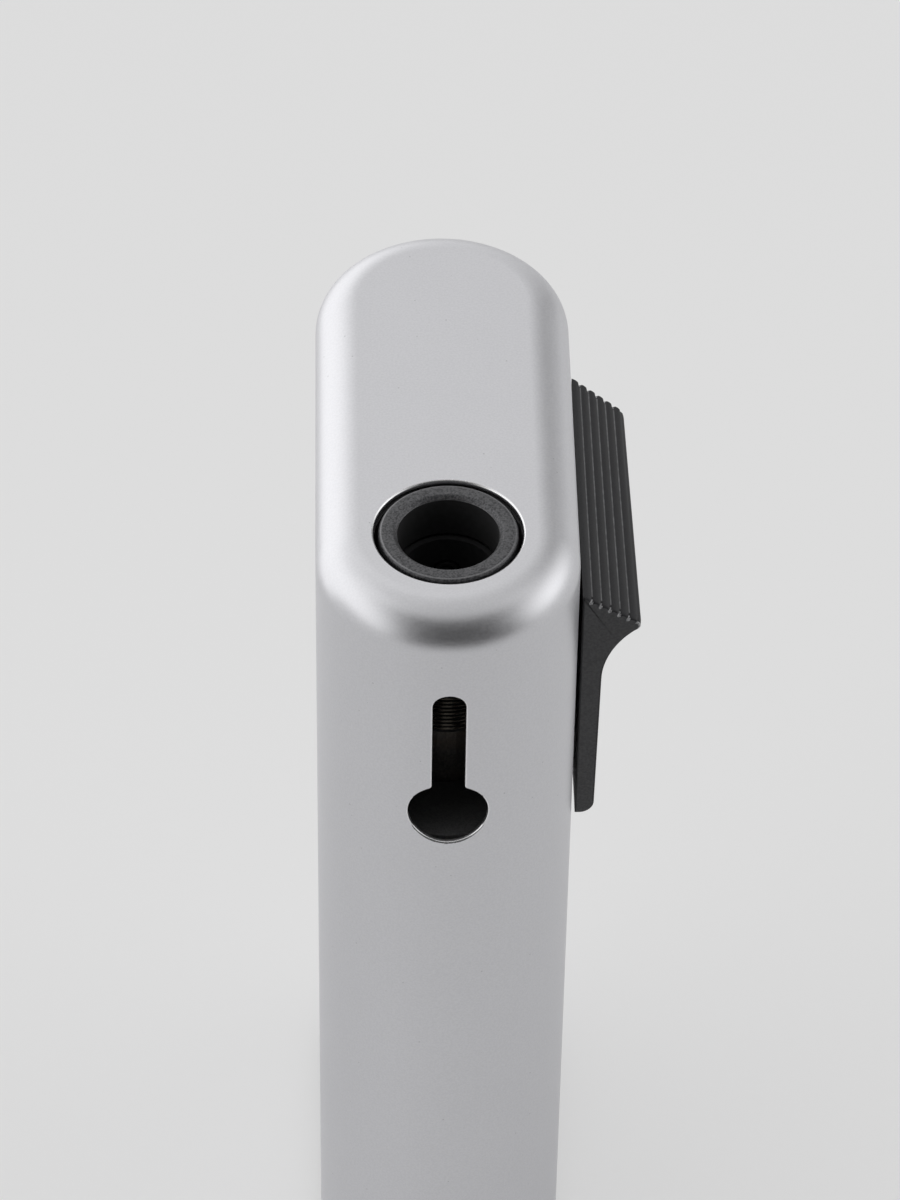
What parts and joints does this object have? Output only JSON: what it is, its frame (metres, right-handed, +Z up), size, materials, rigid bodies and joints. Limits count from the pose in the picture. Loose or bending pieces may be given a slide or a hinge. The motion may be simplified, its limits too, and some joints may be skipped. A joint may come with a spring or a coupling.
{
  "type": "butane torch",
  "caption": "Pocket butane torch: drawn aluminium case with a nozzle in the top, a keyhole air window in the front and a ribbed sliding thumb trigger on the flank.",
  "frame": {"origin": "centre of the base's flat underside", "axes": "+Z up towards the nozzle, -Y towards the nozzle and keyhole end, +X towards the flank with the thumb trigger"},
  "size_m": [0.0212, 0.0394, 0.076],
  "materials": {
    "case_aluminium": "bead-blasted and anodised, satin",
    "black_moulding": "fine moulded grain",
    "blasted_ring": "sandblasted black",
    "brass": "turned",
    "steel": "bright wire and stamped sheet",
    "burnt_steel": "heat-darkened",
    "ceramic": "white ceramic",
    "rubber": "matte",
    "acetal": "natural moulding",
    "tank_plastic": "smoked",
    "foam": "porous wad",
    "lead": "red insulation"
  },
  "bodies": {
    "housing": {"case": "case_aluminium", "nozzle_ring": "blasted_ring", "return_spring": "steel", "burner_head": "brass", "flame_disc": "ceramic", "mixing_tube": "burnt_steel", "jet_holder": "brass", "gas_hose": "rubber", "electrode_insulator": "ceramic", "electrode": "steel", "ignition_wire": "lead", "chassis": "black_moulding", "lever_pin": "steel", "valve_body": "brass", "valve_spring": "steel", "valve_o_ring": "rubber", "tank": "tank_plastic", "tank_lid": "black_moulding", "tank_gasket": "rubber", "restrictor_cup": "brass", "flow_restrictor": "foam", "riser_tube": "tank_plastic", "base_cap": "black_moulding", "base_screw_front": "steel", "base_screw_rear": "steel", "fill_valve_body": "brass", "fill_valve_spring": "steel", "fill_valve_seal": "rubber", "adjuster_seal": "rubber"},
    "trigger_unit": {"trigger": "black_moulding", "trigger_slide": "acetal", "piezo_plunger": "acetal"},
    "piezo_unit": {"piezo_body": "black_moulding"},
    "lever_unit": {"gas_lever": "steel"},
    "valve_stem_unit": {"valve_stem": "brass", "valve_seal": "rubber"},
    "adjuster_unit": {"adjuster_dial": "black_moulding", "adjuster_screw": "brass"},
    "fill_stem_unit": {"fill_valve_stem": "brass"}
  },
  "joints": [
    {"name": "trigger_press", "type": "slide", "parent": "housing", "child": "trigger_unit", "axis": [0, 0, -1], "range_m": [0, 0.0042], "stiffness_N_per_m": 1500, "springref_m": -0.002, "deforming": ["return_spring"]},
    {"name": "piezo_sink", "type": "slide", "parent": "housing", "child": "piezo_unit", "axis": [0, 0, -1], "range_m": [0, 0.0007]},
    {"name": "lever_rock", "type": "hinge", "parent": "housing", "child": "lever_unit", "pos_m": [0, -0.0015, 0.0455], "axis": [-1, 0, 0], "range_deg": [0, 3.4]},
    {"name": "valve_lift", "type": "slide", "parent": "housing", "child": "valve_stem_unit", "axis": [0, 0, 1], "range_m": [0, 0.00054], "deforming": ["valve_spring"]},
    {"name": "flame_adjust", "type": "hinge", "parent": "housing", "child": "adjuster_unit", "pos_m": [0, -0.0112, 0.001], "axis": [0, 0, 1], "range_deg": [-135, 135]},
    {"name": "fill_press", "type": "slide", "parent": "housing", "child": "fill_stem_unit", "axis": [0, 0, 1], "range_m": [0, 0.0015], "stiffness_N_per_m": 800, "springref_m": -0.001, "deforming": ["fill_valve_spring"]}
  ],
  "couplings": [
    {"joint": "piezo_sink", "follows": "trigger_press", "ratio": 0.16667},
    {"joint": "lever_rock", "follows": "trigger_press", "rad_per_m": 13.889},
    {"joint": "valve_lift", "follows": "trigger_press", "ratio": 0.12857}
  ]
}
